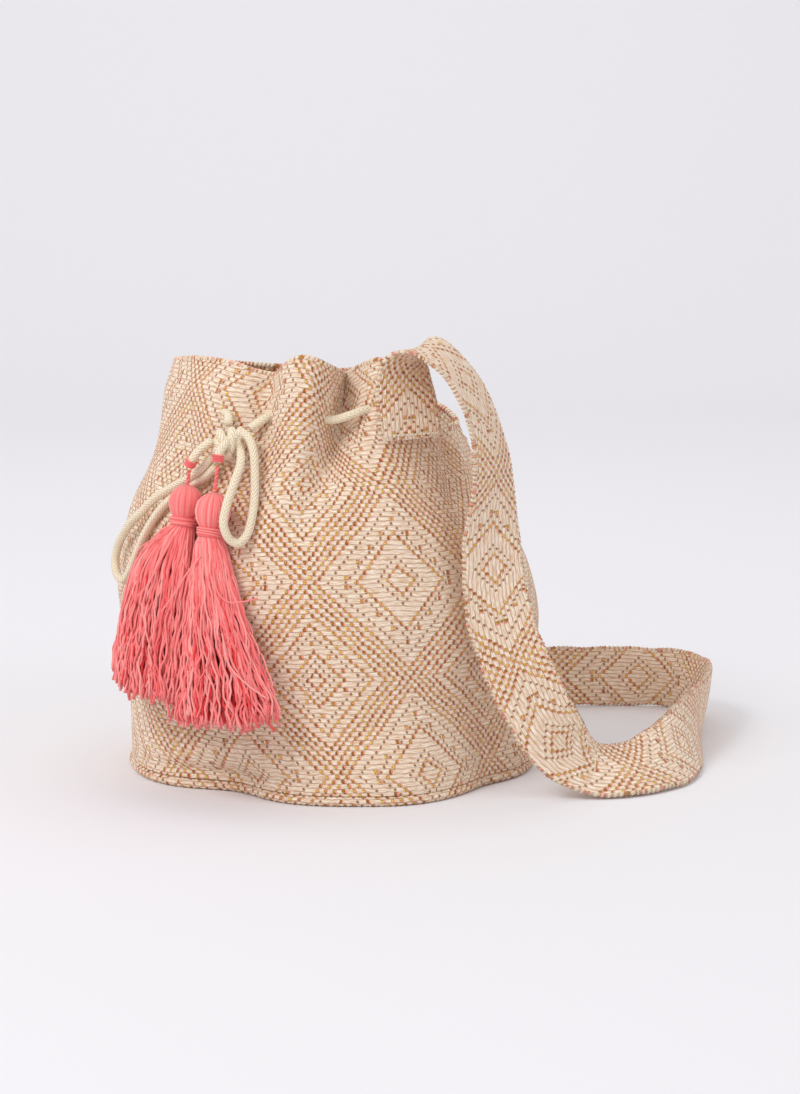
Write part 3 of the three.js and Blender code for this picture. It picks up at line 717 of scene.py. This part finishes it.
def edge_material(name, plain):
    """Whip-stitched edge: slanted stitches, cream up to the plain share, the rest salmon and gold lurex."""
    material, tree, shader = new_material(name, 0.7, sheen=0.15)
    places = add(tree, "UVMap", uv_map="cloth")
    split = add(tree, "SeparateXYZ", places).node
    place = add(tree, "Math", split.outputs[0], 1.4, split.outputs[1], operation="MULTIPLY_ADD")
    whole = add(tree, "Math", place, operation="FLOOR")
    wave = add(tree, "Math", add(tree, "Math", place, math.pi, operation="MULTIPLY"), operation="SINE")
    ridge = add(tree, "Math", wave, operation="ABSOLUTE")
    chance = add(tree, "TexWhiteNoise", add(tree, "CombineXYZ", whole, 3.0, 0.0), noise_dimensions="2D")
    patches = add(tree, "TexNoise", places, None, 0.7, 2.0, noise_dimensions="2D")
    pick = add(tree, "Math", add(tree, "Math", chance, 0.45, operation="MULTIPLY"), patches, operation="ADD")
    colour = add(tree, "ValToRGB", pick).node
    colour.color_ramp.interpolation = "CONSTANT"
    colour.color_ramp.elements[0].color = linear("#EFD9BD")
    colour.color_ramp.elements[1].position = plain
    colour.color_ramp.elements[1].color = linear("#EDA593")
    colour.color_ramp.elements.new(plain + 0.09).color = linear("#B97B35")
    colour.color_ramp.elements.new(plain + 0.16).color = linear("#F1DCC2")
    # Painted shade: each stitch darkens towards the grooves between stitches.
    groove_shade = add(tree, "MapRange", ridge, 0.1, 0.6, 0.62, 1.0)
    groove_shade = add(tree, "CombineXYZ", groove_shade, groove_shade, groove_shade)
    colour = add(tree, "VectorMath", colour.outputs[0], groove_shade, operation="MULTIPLY")
    tree.links.new(colour, shader.inputs["Base Color"])
    fibre = add(tree, "TexNoise", add(tree, "TexCoord").node.outputs["Object"], None, 1800.0, 2.0)
    bumped(tree, shader, add(tree, "Math", fibre, 0.4, ridge, operation="MULTIPLY_ADD"), 0.8, 0.0007)
    return material


def yarn_material(name, *colours):
    """Soft spun cotton; each strand's own number, its u, picks its shade."""
    material, tree, shader = new_material(name, 0.75, sheen=0.25)
    places = add(tree, "UVMap", uv_map="cloth")
    split = add(tree, "SeparateXYZ", places).node
    whole = add(tree, "Math", split.outputs[0], operation="FLOOR")
    chance = add(tree, "TexWhiteNoise", add(tree, "CombineXYZ", whole, 1.0, 0.0), noise_dimensions="2D")
    # Strands numbered from INNER_NUMBER lie inside the bundle; their colour drops to the ramp's deep red end as
    # painted shade.
    outer = add(tree, "MapRange", whole, INNER_NUMBER - 1.0, float(INNER_NUMBER), 1.0, 0.0)
    pick = add(tree, "Math", chance, 0.5, 0.45, operation="MULTIPLY_ADD")
    pick = add(tree, "Math", pick, outer, operation="MULTIPLY")
    tree.links.new(ramp_of(tree, pick, *colours), shader.inputs["Base Color"])
    twist = add(tree, "Math", split.outputs[1], TAU, operation="MULTIPLY")
    twist = add(tree, "Math", split.outputs[0], TAU * 2, twist, operation="MULTIPLY_ADD")
    bumped(tree, shader, add(tree, "Math", twist, operation="SINE"), 0.35, 0.0002)
    return material


cord_cotton = plaited_material(
    "plaited cotton drawcord", PLAIT_SLOPE, (0.25, "#E4C99F"), (0.6, "#FAEBCF"), (0.95, "#FFF8EA")
)
edge_yarn = edge_material("whip-stitched cotton and lurex edge", 0.7)
tassel_cotton = yarn_material(
    "spun cotton tassel yarn", (0.0, "#EA3A3C"), (0.4, "#F45F60"), (0.7, "#FD8684"), (1.0, "#FFAFA8")
)
thread_cotton = yarn_material("cream sewing thread", (0.3, "#E4D2B8"), (1.0, "#F0E3CE"))

# ---------------------------------------------------------------- base and seams

BASE_THICKNESS = 3.0
BASE_COLUMNS = 120
ROPE_SIDES = 14
ROPE_STEP = 0.9
STITCH_SLANT = 1.4


def rope_ring(name, path, radius, stitch, material, replaces):
    """A closed ridge along a path: radius times (0.86 + 0.22 |sin|), so that each slanted stitch stands up.
    In the woven cloth, wefts are counted round the ridge and warps along it."""
    path, marks = evenly(np.concatenate([path, path[:1]]), ROPE_STEP)
    path, marks = path[:-1], marks[:-1]
    around = np.linspace(0, TAU, ROPE_SIDES, endpoint=False)[None, :]
    count = round(marks[-1] / stitch)
    phase = marks[:, None] / marks[-1] * count + STITCH_SLANT * around / TAU
    reach = radius * (0.86 + 0.22 * np.abs(np.sin(math.pi * phase)))
    if material is cloth:
        counts = (TAU * radius / WEFT_PITCH, 1 / WARP_PITCH)
        points, faces, uvs = tube_parts(path, reach, ROPE_SIDES, closed=True, scale=counts)
        part = (points, faces, uvs[..., ::-1] + [0.0, 14.0])
    else:
        part = tube_parts(path, reach, ROPE_SIDES, closed=True, scale=(1.0, count / (marks[-1] + ROPE_STEP)))
    return add_piece(name, [part], material, "bag", replaces)


turning = np.linspace(-180, 180, 720, endpoint=False)
foot = np.radians(turning)
foot_radius = base_radius(turning)
seam_path = np.stack(
    [foot_radius * np.sin(foot), -foot_radius * np.cos(foot), np.full(len(foot), SEAM_RADIUS + 0.2)], axis=1
)
rope_ring("base_seam_stitches", seam_path, SEAM_RADIUS, 3.4, cloth, ["base_seam"])
rim_path = body_surface(turning, np.ones(len(turning)))
rim_path[:, 2] += 0.2
rope_ring("rim_stitches", rim_path, 1.8, 3.0, edge_yarn, [])


def make_base():
    """The base cloth: the outline shrunk towards the middle in rings, lower and upper side joined at the rim."""
    rings = 40
    shares = np.concatenate([np.linspace(0.001, 1, rings), np.linspace(1, 0.001, rings)])
    levels = np.concatenate([np.full(rings, 0.6), np.full(rings, 0.6 + BASE_THICKNESS)])
    angle = np.radians(np.linspace(-180, 180, BASE_COLUMNS, endpoint=False))
    reach = (base_radius(np.degrees(angle)) - SEAM_RADIUS - 0.4)[None, :] * shares[:, None]
    height = levels[:, None] * np.ones((1, BASE_COLUMNS))
    points = np.stack([reach * np.sin(angle), -reach * np.cos(angle), height], axis=-1)
    faces = grid_faces(2 * rings, BASE_COLUMNS, wrap_rows=True)[:, ::-1]
    points = points.reshape(-1, 3)
    uvs = points[faces][..., :2] / [WARP_PITCH, WEFT_PITCH] + 0.5
    piece = add_mesh("base_cloth", points * MM, faces, uvs)
    piece.data.materials.append(cloth)
    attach(piece, "bag")
    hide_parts("base_panel")


make_base()

# ---------------------------------------------------------------- strap

STRAP_WIDTH = 43.0
STRAP_THICKNESS = 5.0
STRAP_SIDES = 40
DIAMOND_ON_STRAP = 215  # a diamond's centre is this far along the strap
STITCH = 3.0
STITCHES_ACROSS = 13


def softened(values, size):
    """Values along a path averaged over a bell of the given size in points, with the ends held."""
    reach = 3 * size
    bell = np.exp(-0.5 * (np.arange(-reach, reach + 1) / size) ** 2)
    bell /= bell.sum()
    before, after = [np.repeat(end, reach, axis=0) for end in (values[:1], values[-1:])]
    padded = np.concatenate([before, values, after])
    return np.stack([np.convolve(padded[:, k], bell, mode="valid") for k in range(values.shape[1])], axis=1)


def make_strap():
    """A flat band carried along its route: section = half width times cos, half thickness times a squared-off
    sin, with the edges standing up in stitches. Warps are counted along it and wefts across it."""
    route = np.array(STRAP_ROUTE, dtype=float)
    centres = curve_through(route[:, :3], 30)
    widths = unit(curve_through(route[:, 3:], 30))
    centres, widths, marks = evenly(centres, 0.9, widths)
    middle = softened(centres, 6)
    held = smoothstep(np.minimum(marks, marks[-1] - marks), 2, 20)[:, None]
    centres = centres * (1 - held) + middle * held
    widths = unit(softened(widths, 14))
    along = unit(np.gradient(centres, axis=0))
    across = unit(widths - np.sum(widths * along, axis=1, keepdims=True) * along)
    out = np.cross(along, across)
    q = (np.arange(STRAP_SIDES) + 0.5) / STRAP_SIDES * TAU
    flat = np.sign(np.cos(q)) * np.abs(np.cos(q)) ** 0.9
    thick = np.sign(np.sin(q)) * np.abs(np.sin(q)) ** 0.45
    edge = smoothstep(np.abs(flat), 0.86, 0.97)[None, :]
    stitch = np.abs(np.sin(math.pi * (marks[:, None] / STITCH + np.sin(q)[None, :] * 0.7)))
    narrow = 1 - 0.13 * np.exp(-(((marks - 62) / 26) ** 2))
    wave = 0.35 * np.sin(marks / 7.3) + 0.25 * np.sin(marks / 3.9 + 1)
    half = (STRAP_WIDTH / 2 - 0.7) * narrow + wave
    body_half = STRAP_THICKNESS / 2 - 0.35
    slack = 0.5 * np.sin(marks / 23.0 + 2)[:, None] * np.cos(flat * 2.2)[None, :]
    x = half[:, None] * flat[None, :] + edge * stitch * 0.9 * np.sign(flat)[None, :]
    z = body_half * thick[None, :] * (1 + 0.2 * edge * stitch) + slack
    points = centres[:, None] + x[..., None] * across[:, None] + z[..., None] * out[:, None]
    rows = len(centres)
    # Close both ends by drawing the last ring in to a line.
    first, last = [centres[i] + x[i, :, None] * across[i] for i in (0, -1)]
    points = np.concatenate([first[None], points, last[None]])
    marks = np.concatenate([marks[:1], marks, marks[-1:]])
    q1 = np.append(flat, flat[0]) * (STRAP_WIDTH / 2)
    u = (marks - DIAMOND_ON_STRAP)[:, None] / WARP_PITCH * np.ones((1, STRAP_SIDES + 1)) + 0.5
    v = (q1 / WEFT_PITCH)[None, :] * np.ones((rows + 2, 1)) + 0.5
    faces = grid_faces(rows + 2, STRAP_SIDES)
    uvs = grid_uvs(rows + 1, STRAP_SIDES, u, v)
    piece = add_mesh("strap_cloth", points.reshape(-1, 3) * MM, faces, uvs)
    for material in (cloth, edge_yarn):
        piece.data.materials.append(material)
    mid = np.abs((flat + np.roll(flat, -1)) / 2)
    piece.data.polygons.foreach_set("material_index", np.tile((mid > 0.93).astype(np.int32), rows + 1))
    # Edge stitches use their own coordinates: once across, three millimetres a stitch.
    layer = np.array(uvs)
    on_edge = np.tile(mid > 0.93, rows + 1)
    layer[on_edge, :, 1] = (u[0, 0] + layer[on_edge, :, 0]) * WARP_PITCH / STITCH
    layer[on_edge, :, 0] = np.tile(np.array([0.0, 0.3, 0.3, 0.0]), (on_edge.sum(), 1))
    piece.data.uv_layers["cloth"].data.foreach_set("uv", layer.astype(np.float32).ravel())
    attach(piece, "bag")
    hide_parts("shoulder_strap")


make_strap()


def stitch_row(name, end, replaces):
    """A row of slanted stitches across the strap close to its end, on the face away from the bag."""
    station = np.array(STRAP_ROUTE[end], dtype=float)
    inward = np.array(STRAP_ROUTE[1 if end == 0 else -2], dtype=float)[:3]
    centre, across = station[:3].copy(), unit(station[3:])
    up = unit(inward - centre)
    out = unit(np.cross(across, up))
    if out[0] * centre[0] + out[1] * centre[1] < 0:
        out = -out
    centre = centre + up * 3 + out * (STRAP_THICKNESS / 2 + 0.15)
    parts = []
    for i in range(STITCHES_ACROSS):
        place = centre + across * (i - STITCHES_ACROSS // 2) * STITCH
        run = [place - across * 1.25 - up * 0.4, place + out * 0.35, place + across * 1.25 + up * 0.4]
        parts.append(tube_parts(evenly(curve_through(run, 6), 0.4)[0], 0.6, 8, scale=(1.0, 0.8)))
    add_piece(name, parts, thread_cotton, "bag", [replaces])


stitch_row("front_stitches", 0, "strap_stitching_front")
stitch_row("back_stitches", -1, "strap_stitching_back")

# ---------------------------------------------------------------- drawcord

CORD_RADIUS = 2.7
PLAIT_COLUMNS = 6
PLAIT_PITCH = 2.6
KNOT_CENTRE = np.array([-60.5, -93.5, 219.5])


def cord_part(route, radius=CORD_RADIUS, sides=18):
    """A plaited tube and its path: radius less a groove between plaits, each plait slanting the other way."""
    path, marks = evenly(curve_through(route, 24), 0.6)
    around = np.linspace(0, 1, sides, endpoint=False)[None, :] * PLAIT_COLUMNS
    side = np.where(np.floor(around) % 2 == 0, 1, -1)
    lean = (around % 1 - 0.5) * side * PLAIT_SLOPE
    plait = np.abs(np.sin(math.pi * (marks[:, None] / PLAIT_PITCH + lean)))
    reach = radius * (0.9 + 0.14 * plait)
    return tube_parts(path, reach, sides, scale=(PLAIT_COLUMNS, 1 / PLAIT_PITCH)), path


def make_cord(name, route, replaces):
    """One free run of the drawcord."""
    part, path = cord_part(route)
    piece = add_piece(name, [part], cord_cotton, "bag", [replaces])


# The bow's knot: the strands meet, wrap once over the front and are pulled tight. Offsets from its middle.
KNOT_STRANDS = [
    [(7, 3, 7), (6, -2, 6), (3, -5.5, 4), (-1, -7, 1), (-4, -6, -3), (-6, -2, -6), (-7, 2, -7)],
    [(-6, 3, 6), (-5, -2.5, 5), (-3, -5, 1), (-4.5, -4, -3), (-7, -1.5, -4), (-9, 1, -6)],
    [(8, -2, 6.5), (5, -4, 2), (6, -4.5, -2), (7.5, -6, -5)],
    [(1, 2, 7), (2, -4, 6.5), (1.5, -7, 2.5), (1, -7, -2.5), (0, -5.5, -6), (-1, -8, -8)],
    [(-8, 1, 1), (-5, -4, -1), (0, -3, -4), (4, -3, -4), (7, 0, -1), (5, 3, 3), (0, 4, 4), (-6, 3, 3)],
]
knot_parts = [cord_part([KNOT_CENTRE + np.array(p) for p in strand], 2.9)[0] for strand in KNOT_STRANDS]
knot = add_piece("bow_knot", knot_parts, cord_cotton, "bag", ["drawcord_bow_knot"])
for side_name, end_route in (("left", LEFT_END_ROUTE), ("right", RIGHT_END_ROUTE)):
    end_part = cord_part(end_route)[0]
    replaced = [f"drawcord_end_{side_name}"]
    add_piece(f"cord_end_{side_name}", [end_part], cord_cotton, "bag", replaced)
make_cord("drawcord_round_mouth", MOUTH_ROUTE, "drawcord_mouth")
make_cord("bow_loop_left", LEFT_LOOP_ROUTE, "drawcord_loop_left")
make_cord("bow_loop_right", RIGHT_LOOP_ROUTE, "drawcord_loop_right")

# ---------------------------------------------------------------- tassels

TASSEL_ANGLE = math.radians(-37)
TASSEL_REACH = 126.5
TASSEL_LEAN = math.radians(9.5)
TASSEL_WRAP = 140.0
HANGER_SPACING = 23.0
# Rings of yarn: depth below the swing axis, shift to the right, half width, half thickness, shift outwards.
LEFT_RINGS = [
    (10, 0, 1.5, 1.5, 0), (12, 0, 6, 6, 0), (16, 0, 9.4, 9.4, 0), (21, 0, 10.2, 10.2, 0), (26, 0, 8.8, 8.8, 0),
    (29, 0, 6.6, 6.6, 0), (34.5, 0, 6.6, 6.6, 0), (40, -5, 13, 7.5, 0.5), (50, -12.5, 21.5, 8, 0.8),
    (62, -18.5, 28, 8.5, 1), (95, -24, 33.5, 9.5, 2), (118, -24, 33.5, 9.5, 2), (140, -20, 29.5, 8.5, 2),
    (150, -19, 28.5, 8.5, 2),
]
RIGHT_RINGS = [
    (17, 0, 1.5, 1.5, 0), (19, 0, 6.2, 6.2, 0), (23, 0, 9.8, 9.8, 0), (28.5, 0, 10.6, 10.6, 0),
    (34, 0, 9.2, 9.2, 0), (37.5, 0, 6.8, 6.8, 0), (43, 0, 6.8, 6.8, 0), (50, 0.5, 10, 7.5, 0.5),
    (66, 3, 12.5, 8.5, 1), (85, 7.5, 17, 9.3, 2), (107, 14, 23.5, 9.5, 2), (130, 18.5, 28, 9.5, 2),
    (155, 25, 34.5, 8.5, 2), (165, 26, 35, 8.5, 2),
]
YARN_RADIUS = 0.7
YARN_SCALE = (0.9, 0.7)  # shares of a shade round a yarn, twists in a millimetre along it
STRAND_SIDES = 5
STRANDS = 360
OUTER_STRANDS = 210


def placed(points, side, axis_height):
    """Points of a tassel's own frame in the bag's: leaned back, turned round the bag, moved to its axis."""
    x, y, z = points[..., 0], points[..., 1], points[..., 2]
    c, s = math.cos(-TASSEL_LEAN), math.sin(-TASSEL_LEAN)
    y, z = c * y - s * z, s * y + c * z
    ca, sa = math.cos(TASSEL_ANGLE), math.sin(TASSEL_ANGLE)
    along = side * HANGER_SPACING / 2
    px = TASSEL_REACH * sa + along * ca
    py = -TASSEL_REACH * ca + along * sa
    return np.stack([px + ca * x - sa * y, py + sa * x + ca * y, axis_height + z], axis=-1)


def strand(rings, side, share, angle, end, rng, loose=1.0):
    """One strand's path: its own share of every ring's half sizes at its own angle, with a wave and a drift
    that start at zero under the binding and grow towards the cut end."""
    table = np.array(rings, dtype=float)
    waist = table[6, 0]
    depth = np.concatenate([np.linspace(table[0, 0], waist, 15)[:-1], np.linspace(waist, end, 27)])
    shift, half, thick, forward = [np.interp(depth, table[:, 0], table[:, k]) for k in (1, 2, 3, 4)]
    smooth = np.minimum(1, np.maximum(0, (depth - waist) / 14))
    soft = [np.interp(depth, table[:, 0], softened(table[:, k : k + 1], 1)[:, 0]) for k in (1, 2)]
    shift = shift * (1 - smooth) + soft[0] * smooth
    half = half * (1 - smooth) + soft[1] * smooth
    x = shift + half * share * np.cos(angle)
    y = thick * share * np.sin(angle) - forward
    free = np.clip((depth - waist) / (end - waist), 0, 1)
    front = 0.5 - 0.5 * math.sin(angle)
    for size, low, high in ((1.9, 26, 56), (0.75, 10, 19)):
        wave = rng.uniform(low, high)
        x = x + loose * size * free**0.6 * np.sin(TAU * (depth / wave + rng.uniform()))
        y = y + loose * size * 0.7 * front * free**0.6 * np.sin(TAU * (depth / wave + rng.uniform()))
    x = x + loose * rng.normal(0, 2.9) * free**1.2
    y = y - abs(rng.normal(0, 1.6)) * front * free
    inside = np.where(depth > waist + 4, x + side * HANGER_SPACING / 2, 0)
    y = y + inside**2 / (2 * TASSEL_WRAP)
    return np.stack([x, y, -depth], axis=-1)


def coil(radius, top, bottom, turns, tilt, rng):
    """Thread wound round the z axis from top to bottom, each turn at its own slight tilt."""
    a = np.linspace(0, TAU * turns, int(26 * turns))
    z = top + (bottom - top) * a / a[-1]
    z = z + np.interp(a / TAU, np.arange(turns + 2), rng.uniform(-tilt, tilt, turns + 2)) * np.sin(a)
    return np.stack([radius * np.cos(a), radius * np.sin(a), z], axis=-1)


def make_tassel(name, rings, side, axis_height, seed, strays):
    """A tassel: one bundle of strands folded over the hanger, wound at the waist, loose below."""
    rng = np.random.default_rng(seed)

    def yarn(path, radius, sides, number):
        """One yarn in the bag's frame, numbered for its shade."""
        points, faces, uvs = tube_parts(placed(path, side, axis_height), radius, sides, scale=YARN_SCALE)
        return points, faces, uvs + [number, 0]

    end = rings[-2][0]
    parts = []
    for i in range(STRANDS):
        outer = i < OUTER_STRANDS
        share = rng.uniform(0.93, 1.0) if outer else math.sqrt(rng.uniform(0.1, 0.8))
        angle = (i + rng.uniform(-0.4, 0.4)) / OUTER_STRANDS * TAU if outer else rng.uniform(0, TAU)
        edge = side * math.cos(angle) * share
        cut = end + 1.5 - 11 * max(edge, 0) ** 2 + rng.normal(0, 2.2) - (0 if outer else 5)
        path = strand(rings, side, share, angle, min(cut, end + 6), rng)
        radius = YARN_RADIUS * rng.uniform(0.85, 1.15) * np.ones((len(path), 1))
        radius[-1] *= 1.35
        parts.append(yarn(path, radius, STRAND_SIDES, i if outer else i + INNER_NUMBER))
    for i, path in enumerate(strays):
        path = evenly(curve_through(path, 10), 1.5)[0]
        parts.append(yarn(path, YARN_RADIUS * 0.8, STRAND_SIDES, 400 + i))
    add_piece(f"{name}_strands", parts, tassel_cotton, name, [f"{name}_yarn"])
    waist = rings[5]
    top, low = -(waist[0] + 0.4), -(rings[6][0] - 0.2)
    parts = []
    for i, (turns, tilt, reach) in enumerate(((8, 0.35, 7.75), (3, 1.5, 8.35))):
        parts.append(yarn(coil(waist[2] + reach - 6.6, top, low, turns, tilt, rng), 0.6, 6, i))
    add_piece(f"{name}_winding", parts, tassel_cotton, name, [f"{name}_binding"])
    drop = np.linspace(-0.6, -rings[0][0] - 1.5, 40)
    parts = []
    for i in (0, 1):
        a = drop * TAU / 4.2 + i * math.pi
        path = np.stack([0.62 * np.cos(a), 0.62 * np.sin(a), drop], axis=-1)
        parts.append(yarn(path, 0.66, 8, i))
    add_piece(f"{name}_twist", parts, tassel_cotton, name, [f"{name}_hanger"])
    # The end of the cord is whipped with the same yarn; this part stays with the bag.
    core = evenly(curve_through(LEFT_END_ROUTE if side < 0 else RIGHT_END_ROUTE, 24), 0.3)[0][-16:-1]
    first, second = carried_frames(core)
    a = np.linspace(0, TAU * 4, 96)[:, None]
    pick = np.round(a[:, 0] / a[-1, 0] * (len(core) - 1)).astype(int)
    core, first, second = softened(core[pick], 4), first[pick], second[pick]
    turns = core + (CORD_RADIUS + 0.45) * (np.cos(a) * first + np.sin(a) * second)
    whipping = tube_parts(turns, 0.6, 6, scale=YARN_SCALE)
    add_piece(f"{name}_whipping", [whipping], tassel_cotton, "bag")


LEFT_STRAYS = [
    [(-8, -6, -42), (-20, -8, -47), (-33, -2, -53), (-39, 4, -60), (-37, 4, -68), (-35, 3, -74)],
    [(-2, -8, -45), (-9, -11, -62), (-16, -12, -84), (-12, -12, -100), (-6, -12, -112)],
]
RIGHT_STRAYS = [
    [(11, -8, -62), (17, -8, -76), (24, -6, -81), (32, -3, -80), (40, 2, -77)],
    [(2, -9, -55), (-5, -12, -66), (-13, -13, -80), (-23, -12, -92)],
    [(8, -9, -80), (12, -12, -96), (20, -12, -110), (17, -12, -122), (12, -12, -130)],
    [(24, -9, -100), (31, -8, -118), (41, -3, -128), (52, 5, -136)],
]
make_tassel("tassel_left", LEFT_RINGS, -1, 203, 11, LEFT_STRAYS)
make_tassel("tassel_right", RIGHT_RINGS, 1, 207, 12, RIGHT_STRAYS)
